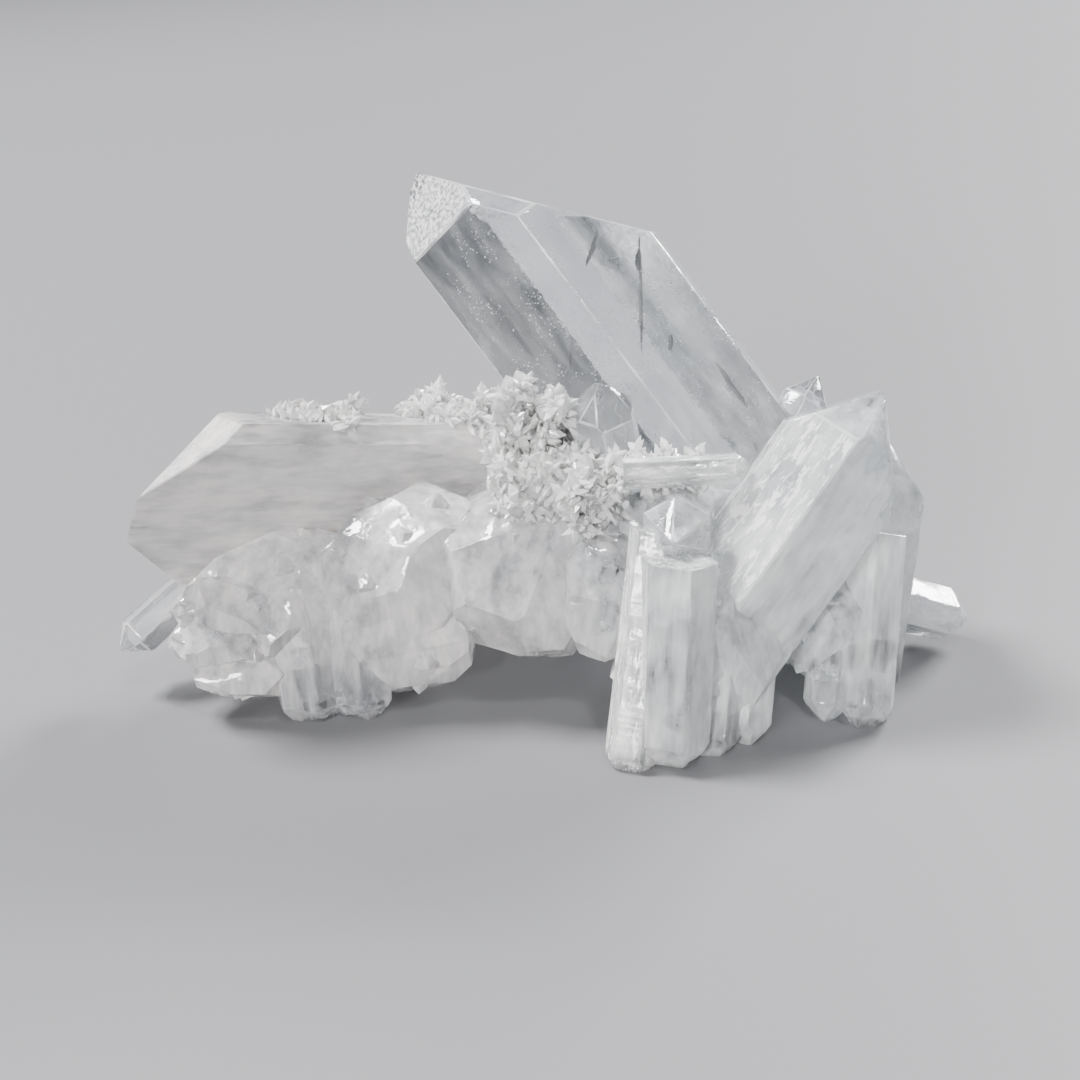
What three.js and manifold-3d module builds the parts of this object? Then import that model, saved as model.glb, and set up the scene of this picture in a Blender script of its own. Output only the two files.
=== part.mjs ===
// Clear quartz cluster, lying as it rests on a table. Millimetres, Z up, the long way along X.
// Every crystal is a six-sided prism closed by six sloping cap faces, and all have grown into
// one another, so the whole cluster is one solid.
import * as THREE from "three";
import { mergeVertices } from "three/addons/utils/BufferGeometryUtils.js";
import Module from "manifold-3d";

const wasm = await Module();
wasm.setup();

// Driving dimensions, in millimetres.
const BLOCK = 120; // the block each crystal is cut from
const CAP_LEAN = THREE.MathUtils.degToRad(51.8); // between a cap face's normal and the axis
const SIDE_TURN = Math.PI / 3; // from one prism face to the next
const GOLDEN_TURN = Math.PI * (3 - Math.sqrt(5)); // from one cut to the next round a lump or a broken root
const ROOT_CUTS = 6; // faces of a broken root
const ROOT_LEAN = THREE.MathUtils.degToRad(38); // between their normals and the axis, on average
const LOW_CAPS = 0.6; // how far every other cap face is cut down, as a share of the blunting
const STEEP = 0.9; // above this share of its length in height, a crystal is turned from the Y axis
const LUMP_CUTS = 26; // faces of a lump
const LUMP_WEAR = 0.16; // how far a lump's faces are set back at most, as a share of its radius
const GRAIN_LIFT = 0.7; // how strongly a crust's grains turn upward
const REST_DEPTH = 20; // how much is cleared away below the resting plane
const MIDDLE = [0.41, 11.21, 0]; // centre of the base of the bounding box

const vector = (xyz) => new THREE.Vector3(...xyz);

// A seeded row of numbers between 0 and 1, so that the cluster is the same each time it is made.
function seededNumbers(seed) {
  let state = seed;
  return () => {
    state = (Math.imul(state, 1664525) + 1013904223) >>> 0;
    return state / 4294967296;
  };
}

// A closed three.js geometry as a solid.
function solidOf(geometry) {
  geometry.deleteAttribute("normal");
  geometry.deleteAttribute("uv");
  const merged = mergeVertices(geometry, 1e-4);
  return new wasm.Manifold(
    new wasm.Mesh({
      numProp: 3,
      vertProperties: merged.attributes.position.array,
      triVerts: new Uint32Array(merged.index.array),
    }),
  );
}

function block(centre, size) {
  const box = new THREE.BoxGeometry(...size);
  box.translate(...centre);
  return solidOf(box);
}

// Cuts a solid back to a list of flat faces; each face has an outward normal and a point on it.
function cutToFaces(solid, faces) {
  return faces.reduce((rest, { normal, point }) => {
    const inward = normal.clone().negate();
    return rest.trimByPlane(inward.toArray(), inward.dot(point));
  }, solid);
}

// One crystal. foot is where its axis starts, axis the way it points and facing the way its first
// side looks. sides holds the distance of each prism face from the axis, and caps the height at
// which each cap face would meet the axis. With a rootSeed its root is broken off unevenly.
function crystal({ foot, axis, facing, sides, caps, rootSeed }) {
  const start = vector(foot);
  const along = vector(axis).normalize();
  const first = vector(facing).projectOnPlane(along).normalize();
  const second = along.clone().cross(first);
  // A direction turned from the first side round the axis, and leaning towards the tip or the root.
  const heading = (turn, lean) =>
    first
      .clone()
      .multiplyScalar(Math.cos(turn) * Math.sin(lean))
      .addScaledVector(second, Math.sin(turn) * Math.sin(lean))
      .addScaledVector(along, Math.cos(lean));
  const faces = [];
  sides.forEach((distance, i) => {
    const out = heading(i * SIDE_TURN, Math.PI / 2);
    faces.push({ normal: out, point: start.clone().addScaledVector(out, distance) });
    const cap = heading(i * SIDE_TURN, CAP_LEAN);
    faces.push({ normal: cap, point: start.clone().addScaledVector(along, caps[i]) });
  });
  if (rootSeed) {
    const random = seededNumbers(rootSeed);
    for (let i = 0; i < ROOT_CUTS; i++) {
      const lean = Math.PI - ROOT_LEAN * (0.4 + 1.2 * random());
      const point = start.clone().addScaledVector(along, -sides[i] * random());
      faces.push({ normal: heading(i * GOLDEN_TURN, lean), point });
    }
  } else {
    faces.push({ normal: heading(0, Math.PI), point: start });
  }
  return cutToFaces(block(foot, [BLOCK, BLOCK, BLOCK]), faces);
}

// A crystal with six like sides and a point in the middle, given by its root, its tip and its
// width from side to side; turn swings it about its own axis, in degrees.
function evenCrystal({ root, tip, width, turn = 0, blunt = 0 }) {
  const along = vector(tip).sub(vector(root));
  const length = along.length();
  const steep = Math.abs(along.z) > STEEP * length;
  const facing = new THREE.Vector3(0, steep ? 1 : 0, steep ? 0 : 1).projectOnPlane(along);
  facing.applyAxisAngle(along.clone().normalize(), THREE.MathUtils.degToRad(turn));
  const high = length + blunt;
  const low = length + (1 - LOW_CAPS) * blunt;
  return crystal({
    foot: root,
    axis: along.toArray(),
    facing: facing.toArray(),
    sides: Array(6).fill(width / 2),
    caps: [high, low, high, low, high, low],
  });
}

// A broken or worn lump: a block cut by flat faces that touch an ellipsoid, spread evenly round it
// and nudged at random.
function lump({ centre, radii, seed }) {
  const random = seededNumbers(seed);
  const middle = vector(centre);
  const faces = [];
  for (let i = 0; i < LUMP_CUTS; i++) {
    const height = 1 - (2 * i + 1) / LUMP_CUTS;
    const turn = i * GOLDEN_TURN + (random() - 0.5) * 0.9;
    const ring = Math.sqrt(1 - height * height);
    const normal = new THREE.Vector3(ring * Math.cos(turn), ring * Math.sin(turn), height);
    const reach = Math.hypot(normal.x * radii[0], normal.y * radii[1], normal.z * radii[2]);
    const worn = reach * (1 - LUMP_WEAR * random());
    faces.push({ normal, point: middle.clone().addScaledVector(normal, worn) });
  }
  return cutToFaces(block(centre, [BLOCK, BLOCK, BLOCK]), faces);
}

// The large crystals, each with the uneven faces it grew.
const CRYSTALS = {
  // Tall and clear, leaning to the left; one cap face has outgrown the others.
  tall: {
    foot: [25.6, 14, 14.2],
    axis: [-0.56, 0.318, 0.765],
    facing: [-0.572, -0.817, -0.078],
    sides: [8.2, 9.9, 12.1, 8, 8, 12.8],
    caps: [60.8, 58.3, 50.8, 67, 67, 69.8],
    rootSeed: 5,
  },
  // Long and milky, pointing to the left and forward.
  long: {
    foot: [-6.9, 27.7, 16.9],
    axis: [-0.82, -0.518, 0.242],
    facing: [0.549, -0.594, 0.588],
    sides: [12.4, 8.8, 4, 9, 11.2, 5.9],
    caps: [57.5, 48.5, 40.5, 47, 54.8, 56],
    rootSeed: 8,
  },
  // Broad and etched, leaning to the right.
  broad: {
    foot: [12.2, -6.7, 3.3],
    axis: [0.605, 0.225, 0.764],
    facing: [-0.463, -0.681, 0.568],
    sides: [6.3, 6.4, 8.3, 7, 7, 6.5],
    caps: [43.8, 44.6, 42, 46, 46, 42],
  },
  // Upright, at the right-hand end behind the broad one.
  upright: {
    foot: [36, 5.3, -0.1],
    axis: [0.131, 0.19, 0.973],
    facing: [-0.555, -0.799, 0.23],
    sides: [5, 6.3, 5.2, 6, 6, 8],
    caps: [29.6, 30.4, 28.4, 32, 32, 30],
  },
};

// Smaller crystals with a plain point.
const EVEN_CRYSTALS = [
  // Low at the left end, pointing down and outward.
  { root: [-36, 15, 16], tip: [-50.2, 7.4, 6.2], width: 4.6, turn: 15, blunt: 0.6 },
  // Stub at the far right.
  { root: [38, 8, 8.2], tip: [51, 10.2, 2.7], width: 5.8, turn: 20, blunt: 0.7 },
  // Behind the broad crystal.
  { root: [24, 10, 18], tip: [33.4, 16.3, 32.6], width: 5.4, turn: 10, blunt: 0.4 },
  // The slab at the front right that the cluster stands on.
  { root: [12.5, -5.5, 24], tip: [8.2, -13.7, -1.8], width: 5.2, turn: 20, blunt: 1 },
  { root: [14.4, -9.6, 22.5], tip: [12.8, -13, -1.2], width: 7.2, turn: 20, blunt: 1.5 },
  { root: [19, -6, 14], tip: [16.8, -11.6, -1.5], width: 6, turn: 10, blunt: 1.2 },
  { root: [23, -4, 12], tip: [21, -9.8, -1], width: 5.6, turn: 35, blunt: 1.2 },
  // Stub that faces the viewer under the finger.
  { root: [16, 2, 23], tip: [13.6, -10.5, 24.5], width: 7, turn: 30, blunt: 0.3 },
  // The finger that lies along the foot of the tall crystal.
  { root: [9, -3, 29.6], tip: [22.5, -2.2, 29.2], width: 3, turn: 0, blunt: 1 },
  // Two short ones at the lower left, standing on their points.
  { root: [-28.2, 5, 15], tip: [-27, 0.4, -2.6], width: 7.6, turn: 12, blunt: 1 },
  { root: [-21.2, 4.6, 14], tip: [-21.4, 0.2, -2], width: 6.6, turn: 28, blunt: 1 },
  // Two at the lower right, pointing down and forward.
  { root: [38, 3, 18], tip: [34.6, -8, -1.2], width: 6.2, turn: 25, blunt: 1.2 },
  { root: [33, 1, 13], tip: [30.8, -6.6, -0.4], width: 4.6, turn: 5, blunt: 0.8 },
];

// Crystals of the hidden back, guessed: short, like the ones at the sides.
const BACK_CRYSTALS = [
  { root: [4, 16, 14], tip: [-6, 33.5, 9], width: 9, turn: 12, blunt: 0.8 },
  { root: [14, 14, 14], tip: [15, 36, 12], width: 10, turn: 25, blunt: 1 },
  { root: [10, 18, 12], tip: [4.5, 30.5, 1.5], width: 7, turn: 5, blunt: 0.6 },
  { root: [22, 12, 12], tip: [31, 29, 11], width: 8, turn: 40, blunt: 0.6 },
  { root: [28, 10, 10], tip: [36, 22.5, 3.5], width: 6.4, turn: 15, blunt: 0.5 },
  { root: [12, 22, 10], tip: [13, 29.5, -2], width: 7.5, turn: 30, blunt: 1 },
  { root: [-12, 18, 14], tip: [-21, 27.5, 8.5], width: 6.6, turn: 50, blunt: 0.5 },
];

// Lumps of milky quartz that fill the middle and the underside.
const LUMPS = [
  { centre: [-31, 8, 12], radii: [12, 8, 9], seed: 3 },
  { centre: [-35.4, 3.8, 13.4], radii: [7.4, 4.6, 3.4], seed: 5 },
  { centre: [-36.4, 3, 9.4], radii: [7.2, 4.8, 3.2], seed: 41 },
  { centre: [-34.4, 2.4, 5.8], radii: [6.4, 4.6, 3], seed: 43 },
  { centre: [-15, 6, 16], radii: [11.5, 8, 9.4], seed: 7 },
  { centre: [-16, 3.5, 9], radii: [8, 6, 8], seed: 11 },
  { centre: [-1.5, 4.6, 15.3], radii: [11, 8.5, 10.3], seed: 13 },
  { centre: [6.6, 1, 14], radii: [5, 6, 8.6], seed: 17 },
  { centre: [18, -4, 10], radii: [9, 8, 11], seed: 19 },
  { centre: [33, 1, 8], radii: [7, 6, 7.5], seed: 23 },
  { centre: [12, 12, 16], radii: [16, 12, 11], seed: 29 },
  { centre: [4, 20, 8], radii: [9, 8, 10], seed: 31 },
  // Under the crust at the foot of the tall crystal.
  { centre: [2, 4, 25.6], radii: [7, 4, 4], seed: 53 },
  // Round the roots of the tall and the long crystal, at the hidden back.
  { centre: [27, 15, 13], radii: [10, 10, 9], seed: 37 },
  { centre: [-4, 25, 14], radii: [10, 9, 9], seed: 47 },
];

// Sugary crusts of very small crystals: where the tall crystal leaves the cluster, along the back
// of the long crystal, and round the finger.
const CRUSTS = [
  { centre: [0, 7, 31], spread: [4.6, 3, 5], count: 24, width: 2, length: 5.5, seed: 101 },
  { centre: [2.5, 1.6, 26.6], spread: [8, 2.5, 3], count: 24, width: 1.9, length: 4, seed: 103 },
  { centre: [5.8, -1.5, 25.5], spread: [3, 2, 2.4], count: 12, width: 1.8, length: 3.4, seed: 107 },
  { centre: [13, 0, 28.5], spread: [6, 2.4, 1.6], count: 14, width: 1.7, length: 3.2, seed: 109 },
  { centre: [-9, 22.5, 28.6], spread: [6.5, 4.5, 1.2], count: 20, width: 1.8, length: 3.4, seed: 113 },
  { centre: [-24.5, 12.5, 32.4], spread: [4.5, 3.6, 0.8], count: 7, width: 1.9, length: 2.6, seed: 127 },
];

// One crust: small pointed crystals scattered through an ellipsoid, all leaning outward and up.
function crust({ centre, spread, count, width, length, seed }) {
  const random = seededNumbers(seed);
  const signed = () => 2 * random() - 1;
  const grains = [];
  for (let i = 0; i < count; i++) {
    const away = new THREE.Vector3(signed(), signed(), signed());
    away.multiplyScalar(Math.min(1, 1 / away.length()));
    const root = vector(centre).add(away.clone().multiply(vector(spread)));
    const lean = away.clone().add(new THREE.Vector3(0.3 * signed(), -0.25, GRAIN_LIFT)).normalize();
    const size = 0.65 + 0.55 * random();
    root.addScaledVector(lean, -0.5 * length * size);
    grains.push({
      root: root.toArray(),
      tip: root.clone().addScaledVector(lean, length * size).toArray(),
      width: width * size,
      turn: 60 * random(),
      blunt: 0.3,
    });
  }
  return grains.map(evenCrystal);
}

// Clears away everything below the resting plane, which leaves small flats under the feet.
function restFlat(solid) {
  const side = 2 * BLOCK;
  return solid.subtract(block([0, 0, -REST_DEPTH / 2], [side, side, REST_DEPTH]));
}

function cluster() {
  const grown = [
    ...Object.values(CRYSTALS).map(crystal),
    ...EVEN_CRYSTALS.map(evenCrystal),
    ...BACK_CRYSTALS.map(evenCrystal),
    ...LUMPS.map(lump),
    ...CRUSTS.flatMap(crust),
  ].reduce((whole, one) => whole.add(one));
  return restFlat(grown);
}

function meshOf(name, solid, material) {
  const { vertProperties, triVerts } = solid.getMesh();
  const geometry = new THREE.BufferGeometry();
  geometry.setAttribute("position", new THREE.BufferAttribute(vertProperties, 3));
  geometry.setIndex(new THREE.BufferAttribute(triVerts, 1));
  geometry.translate(-MIDDLE[0], -MIDDLE[1], -MIDDLE[2]);
  geometry.computeVertexNormals();
  const mesh = new THREE.Mesh(geometry, material);
  mesh.name = name;
  return mesh;
}

const quartz = new THREE.MeshStandardMaterial({
  name: "quartz",
  color: 0xdcdad6,
  roughness: 0.15,
  metalness: 0,
});

const specimen = new THREE.Group();
specimen.name = "clear_quartz_cluster";
specimen.add(meshOf("quartz_cluster", cluster(), quartz));

export default specimen;
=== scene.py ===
import math
import random

import bmesh
import bpy
import numpy as np
from mathutils import Matrix, Vector, noise


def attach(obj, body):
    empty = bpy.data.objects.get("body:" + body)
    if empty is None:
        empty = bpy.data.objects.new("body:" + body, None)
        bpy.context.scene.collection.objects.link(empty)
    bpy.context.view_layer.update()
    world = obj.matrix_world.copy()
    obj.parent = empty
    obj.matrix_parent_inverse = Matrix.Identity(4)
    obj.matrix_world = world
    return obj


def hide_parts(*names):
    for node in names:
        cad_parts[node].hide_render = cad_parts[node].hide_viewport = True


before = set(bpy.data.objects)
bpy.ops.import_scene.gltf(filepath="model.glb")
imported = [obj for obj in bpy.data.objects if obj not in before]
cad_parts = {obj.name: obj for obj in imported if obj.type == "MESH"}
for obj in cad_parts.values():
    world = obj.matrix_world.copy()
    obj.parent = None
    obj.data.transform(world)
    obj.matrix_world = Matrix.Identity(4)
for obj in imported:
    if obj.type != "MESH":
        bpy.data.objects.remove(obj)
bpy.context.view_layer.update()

# The camera stands in front and a little above, at the angle at which the cluster was pictured.
# Places in this file are in millimetres, measured as the crystals were, and BASE_CENTRE is the
# middle of the cluster's base in those measures.
MM = 0.001
BASE_CENTRE = Vector((0.41, 11.21, 0))
CAMERA_PLACE = Vector((0, -150, 90))
CAMERA_DOWN = 24.6867
CAMERA_ROLL = -3.0252
lens = bpy.data.cameras.new("camera")
lens.lens = 50
lens.sensor_width = 36
lens.clip_start = 0.01
camera = bpy.data.objects.new("camera", lens)
bpy.context.scene.collection.objects.link(camera)
camera.location = (CAMERA_PLACE - BASE_CENTRE) * MM
tilt = Matrix.Rotation(math.radians(90 - CAMERA_DOWN), 3, "X")
camera.rotation_euler = (tilt @ Matrix.Rotation(math.radians(CAMERA_ROLL), 3, "Z")).to_euler()
bpy.context.scene.camera = camera


# The floor is a plain light grey sheet under soft studio light: a key lamp high on the left, a
# long strip behind on the right for the bright rims, a weaker lamp in front, and a small one
# overhead for the sparks on the facets. Places and sizes here are in metres, powers in watts.
FLOOR_SIDE = 12.0
FLOOR_GREY = (0.20, 0.20, 0.21, 1)
FLOOR_ROUGHNESS = 0.6
ROOM_COLOUR = (0.45, 0.46, 0.48, 1)
ROOM_STRENGTH = 0.15
LAMPS = [
    ("key", (-0.95, 0.3, 1.6), (0, 0, 0.02), (0.5, 0.5), 85),
    ("rim", (1.3, 1.1, 1.0), (0, 0, 0.03), (0.9, 0.4), 95),
    ("front", (-1.0, -1.7, 0.6), (0, 0, 0.02), (0.5, 0.35), 38),
    ("spark", (0.35, -0.7, 1.5), (0, 0, 0.02), (0.12, 0.12), 9),
]


def floor_material():
    material = bpy.data.materials.new("pale_floor")
    material.use_nodes = True
    shader = material.node_tree.nodes["Principled BSDF"]
    shader.inputs["Base Color"].default_value = FLOOR_GREY
    shader.inputs["Roughness"].default_value = FLOOR_ROUGHNESS
    return material


def soft_lamp(name, place, target, size, power):
    lamp = bpy.data.lights.new(name, "AREA")
    lamp.shape = "RECTANGLE"
    lamp.size, lamp.size_y = size
    lamp.energy = power
    holder = bpy.data.objects.new(name, lamp)
    bpy.context.scene.collection.objects.link(holder)
    holder.location = place
    holder.rotation_euler = (Vector(target) - Vector(place)).to_track_quat("-Z", "Y").to_euler()


sheet = bmesh.new()
bmesh.ops.create_grid(sheet, x_segments=1, y_segments=1, size=FLOOR_SIDE / 2)
floor_mesh = bpy.data.meshes.new("floor")
sheet.to_mesh(floor_mesh)
sheet.free()
floor_mesh.materials.append(floor_material())
floor = bpy.data.objects.new("floor", floor_mesh)
bpy.context.scene.collection.objects.link(floor)
for row in LAMPS:
    soft_lamp(*row)
world = bpy.data.worlds.new("studio")
world.use_nodes = True
world.node_tree.nodes["Background"].inputs["Color"].default_value = ROOM_COLOUR
world.node_tree.nodes["Background"].inputs["Strength"].default_value = ROOM_STRENGTH
bpy.context.scene.world = world


# The four great crystals that the cluster is grown round. Each is a six-sided prism of quartz
# closed by six sloping cap faces, with the sides and caps as unevenly grown as they are on the
# real one. The tall and the long one end in a broken root, cut by slanting faces.
CAP_LEAN = math.radians(51.8)
SIDE_TURN = math.pi / 3
GOLDEN_TURN = math.pi * (3 - math.sqrt(5))
ROOT_CUTS = 6
ROOT_LEAN = math.radians(38)
ROOT_LEAN_LEAST = 0.4
ROOT_LEAN_RANGE = 1.2
BLOCK = 120
CUT_REACH = 1e-5
WORN_ANGLE = math.radians(15)
WEAR_RANGE = (0.4, 1.4)
GREAT_WEAR = 0.085

# The finish of a face, kept as a number on the solids.
CLEAR, MILKY, FROSTED, ETCHED, BROKEN, CLOUDED, SUGARY, WORN = range(8)

# For every crystal: foot, axis, the way its first side faces, the distance of each side from the
# axis, the height of each cap face, the finish of each, and how milky it is at its root and tip.
GREAT_CRYSTALS = {
    "tall": dict(
        foot=(25.6, 14, 14.2), axis=(-0.56, 0.318, 0.765), facing=(-0.572, -0.817, -0.078),
        sides=(8.2, 9.9, 12.1, 8, 8, 12.8), caps=(60.8, 58.3, 50.8, 67, 67, 69.8),
        side_finish=(CLEAR,) * 6, cap_finish=(FROSTED, CLEAR, CLEAR, CLEAR, CLEAR, FROSTED),
        root_seed=5, milk=(0.25, 0.02),
    ),
    "long": dict(
        foot=(-6.9, 27.7, 16.9), axis=(-0.82, -0.518, 0.242), facing=(0.549, -0.594, 0.588),
        sides=(12.4, 8.8, 4, 9, 11.2, 5.9), caps=(57.5, 48.5, 40.5, 47, 54.8, 56),
        side_finish=(MILKY,) * 6, cap_finish=(MILKY, FROSTED, FROSTED, MILKY, MILKY, MILKY),
        root_seed=8, milk=(0.74, 0.66),
    ),
    "broad": dict(
        foot=(12.2, -6.7, 3.3), axis=(0.605, 0.225, 0.764), facing=(-0.463, -0.681, 0.568),
        sides=(6.3, 6.4, 8.3, 7, 7, 6.5), caps=(43.8, 44.6, 42, 46, 46, 42),
        side_finish=(ETCHED, CLOUDED, CLOUDED, CLEAR, CLEAR, ETCHED), cap_finish=(CLEAR,) * 6,
        root_seed=0, milk=(0.6, 0.35),
    ),
    "upright": dict(
        foot=(36, 5.3, -0.1), axis=(0.131, 0.19, 0.973), facing=(-0.555, -0.799, 0.23),
        sides=(5, 6.3, 5.2, 6, 6, 8), caps=(29.6, 30.4, 28.4, 32, 32, 30),
        side_finish=(CLOUDED,) * 6, cap_finish=(CLEAR,) * 6,
        root_seed=0, milk=(0.55, 0.35),
    ),
}

solids = []
growers = []


def cut_face(body, point, outward, finish):
    """Cuts a solid back to one flat face and gives that face its finish."""
    everything = body.verts[:] + body.edges[:] + body.faces[:]
    found = bmesh.ops.bisect_plane(
        body, geom=everything, dist=CUT_REACH, plane_co=point, plane_no=outward, clear_outer=True
    )
    rim = [part for part in found["geom_cut"] if isinstance(part, bmesh.types.BMEdge)]
    rim = [edge for edge in rim if edge.is_boundary]
    if rim:
        for face in bmesh.ops.edgeloop_fill(body, edges=rim)["faces"]:
            face.material_index = finish


def new_block(centre):
    body = bmesh.new()
    bmesh.ops.create_cube(body, size=2 * BLOCK, matrix=Matrix.Translation(centre))
    return body


def seeded_numbers(seed):
    """A seeded row of numbers between 0 and 1."""
    state = seed
    while True:
        state = (state * 1664525 + 1013904223) & 0xFFFFFFFF
        yield state / 4294967296


def crystal_axes(foot, axis, facing):
    """A crystal's foot and three unit directions: along it, to its first side, and across."""
    along = Vector(axis).normalized()
    first = (Vector(facing) - along * Vector(facing).dot(along)).normalized()
    return Vector(foot), along, first, along.cross(first)


def grown_crystal(foot, axis, facing, sides, caps, side_finish, cap_finish, root_seed=0, **rest):
    """One crystal: each prism face at its own distance, each cap face at its own height."""
    start, along, first, second = crystal_axes(foot, axis, facing)
    body = new_block(start)

    def heading(turn, lean):
        flat = first * math.cos(turn) + second * math.sin(turn)
        return flat * math.sin(lean) + along * math.cos(lean)

    for i in range(6):
        out = heading(i * SIDE_TURN, math.pi / 2)
        cut_face(body, start + out * sides[i], out, side_finish[i])
        cut_face(body, start + along * caps[i], heading(i * SIDE_TURN, CAP_LEAN), cap_finish[i])
    if root_seed:
        spread = seeded_numbers(root_seed)
        for i in range(ROOT_CUTS):
            lean = math.pi - ROOT_LEAN * (ROOT_LEAN_LEAST + ROOT_LEAN_RANGE * next(spread))
            depth = sides[i] * next(spread)
            cut_face(body, start - along * depth, heading(i * GOLDEN_TURN, lean), BROKEN)
    else:
        cut_face(body, start, -along, BROKEN)
    return body


def worn_edges(body, depth, seed):
    """Takes a narrow flat off every sharp edge, deeper on some than on others."""
    spread = random.Random(seed)
    cuts = []
    for edge in body.edges:
        if len(edge.link_faces) == 2 and edge.calc_face_angle(0) > WORN_ANGLE:
            out = (edge.link_faces[0].normal + edge.link_faces[1].normal).normalized()
            middle = (edge.verts[0].co + edge.verts[1].co) / 2
            worn = depth * spread.uniform(*WEAR_RANGE)
            cuts.append((middle - out * worn, out))
    for point, out in cuts:
        cut_face(body, point, out, WORN)


def closed(body):
    return all(edge.is_manifold for edge in body.edges)


def solid_object(name, body, grower):
    """A closed mesh object, still in millimetres, whose faces remember what they grew on."""
    mesh = bpy.data.meshes.new(name)
    body.to_mesh(mesh)
    body.free()
    for mark, values in (
        ("grower", [grower] * len(mesh.polygons)),
        ("finish", [face.material_index for face in mesh.polygons]),
    ):
        mesh.attributes.new(mark, "INT", "FACE").data.foreach_set("value", values)
    holder = bpy.data.objects.new(name, mesh)
    bpy.context.scene.collection.objects.link(holder)
    return holder


def grow(values, wear, seed):
    """Makes one crystal, worn if it still closes then, and keeps it for the joining if closed."""
    body = grown_crystal(**values)
    worn_edges(body, wear, seed)
    if not closed(body):
        body.free()
        body = grown_crystal(**values)
    if not closed(body):
        body.free()
        return
    start, along, first, second = crystal_axes(values["foot"], values["axis"], values["facing"])
    solids.append(solid_object("grown", body, len(growers)))
    growers.append((start, along, first, second, max(values["caps"]), values["milk"]))


for number, values in enumerate(GREAT_CRYSTALS.values()):
    grow(values, GREAT_WEAR, number)


# Smaller crystals of the same kind round the edges and feet, each with six like sides and a
# plain point. They are given by root, tip, width, a turn in degrees about their own axis, how
# blunt they are, their finish, and how milky they are at root and tip.
STEEP = 0.9
LOW_CAPS = 0.6
SMALL_WEAR = 0.045
SMALL_SEED = 100
SMALL_CRYSTALS = [
    ((-36, 15, 16), (-50.2, 7.4, 6.2), 4.6, 15, 0.6, CLOUDED, (0.3, 0.15)),
    ((38, 8, 8.2), (51, 10.2, 2.7), 5.8, 20, 0.7, CLOUDED, (0.6, 0.5)),
    ((24, 10, 18), (33.4, 16.3, 32.6), 5.4, 10, 0.4, CLEAR, (0.2, 0.05)),
    ((12.5, -5.5, 24), (8.2, -13.7, -1.8), 5.2, 20, 1, ETCHED, (0.6, 0.55)),
    ((14.4, -9.6, 22.5), (12.8, -13, -1.2), 7.2, 20, 1.5, MILKY, (0.6, 0.55)),
    ((19, -6, 14), (16.8, -11.6, -1.5), 6, 10, 1.2, MILKY, (0.6, 0.55)),
    ((23, -4, 12), (21, -9.8, -1), 5.6, 35, 1.2, MILKY, (0.6, 0.55)),
    ((16, 2, 23), (13.6, -10.5, 24.5), 7, 30, 0.3, CLOUDED, (0.45, 0.25)),
    ((9, -3, 29.6), (22.5, -2.2, 29.2), 3, 0, 1, ETCHED, (0.65, 0.6)),
    ((-28.2, 5, 15), (-27, 0.4, -2.6), 7.6, 12, 1, CLOUDED, (0.55, 0.35)),
    ((-21.2, 4.6, 14), (-21.4, 0.2, -2), 6.6, 28, 1, CLOUDED, (0.55, 0.35)),
    ((38, 3, 18), (34.6, -8, -1.2), 6.2, 25, 1.2, CLOUDED, (0.6, 0.5)),
    ((33, 1, 13), (30.8, -6.6, -0.4), 4.6, 5, 0.8, CLOUDED, (0.6, 0.5)),
    ((4, 16, 14), (-6, 33.5, 9), 9, 12, 0.8, CLOUDED, (0.5, 0.3)),
    ((14, 14, 14), (15, 36, 12), 10, 25, 1, CLOUDED, (0.5, 0.25)),
    ((10, 18, 12), (4.5, 30.5, 1.5), 7, 5, 0.6, CLOUDED, (0.5, 0.3)),
    ((22, 12, 12), (31, 29, 11), 8, 40, 0.6, CLOUDED, (0.5, 0.3)),
    ((28, 10, 10), (36, 22.5, 3.5), 6.4, 15, 0.5, CLOUDED, (0.5, 0.3)),
    ((12, 22, 10), (13, 29.5, -2), 7.5, 30, 1, CLOUDED, (0.5, 0.35)),
    ((-12, 18, 14), (-21, 27.5, 8.5), 6.6, 50, 0.5, CLOUDED, (0.5, 0.3)),
    ((9, 9, 25), (7.3, 4.2, 37), 6.4, 22, 1.2, CLEAR, (0.35, 0.1)),
]


def plain_crystal(root, tip, width, turn, blunt, finish, milk):
    """The values of one crystal from its root, tip and width, three caps high and three low."""
    along = Vector(tip) - Vector(root)
    length = along.length
    level = Vector((0, 1, 0)) if abs(along.z) > STEEP * length else Vector((0, 0, 1))
    level -= along * level.dot(along) / length**2
    level.rotate(Matrix.Rotation(math.radians(turn), 3, along.normalized()))
    high, low = length + blunt, length + (1 - LOW_CAPS) * blunt
    return dict(
        foot=root, axis=along, facing=level, sides=(width / 2,) * 6, caps=(high, low) * 3,
        side_finish=(finish,) * 6, cap_finish=(finish,) * 6, milk=milk,
    )


for number, row in enumerate(SMALL_CRYSTALS):
    grow(plain_crystal(*row), SMALL_WEAR, SMALL_SEED + number)


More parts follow.
